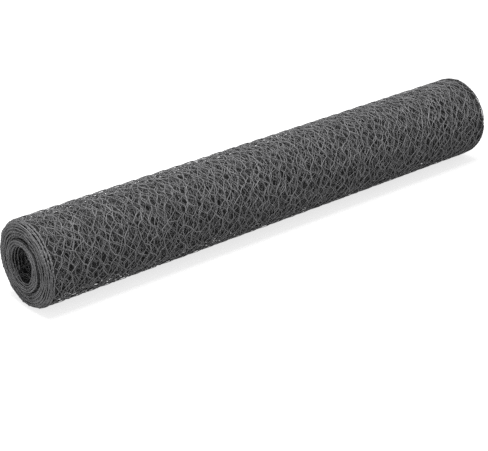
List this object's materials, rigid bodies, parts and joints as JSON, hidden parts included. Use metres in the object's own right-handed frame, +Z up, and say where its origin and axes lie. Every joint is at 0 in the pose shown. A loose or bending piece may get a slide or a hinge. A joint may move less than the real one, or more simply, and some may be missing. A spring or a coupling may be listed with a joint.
{
  "type": "roll of hexagonal wire netting",
  "caption": "Roll of hexagonal wire netting (chicken wire) lying on its side: a long wound cylinder of twisted mesh with an open bore and ridged, slightly slid ends.",
  "frame": {"origin": "on the floor under the middle of the lying roll", "axes": "+X along the roll's axis, from the shouldered end to the dished end; +Z up; the bore runs along X"},
  "size_m": [1.006, 0.152, 0.1519],
  "materials": {
    "coated_wire": "dark grey plastic-coated steel wire, satin, seen as many layers of open mesh"
  },
  "bodies": {
    "root": {"netting_roll": "coated_wire"}
  },
  "joints": []
}
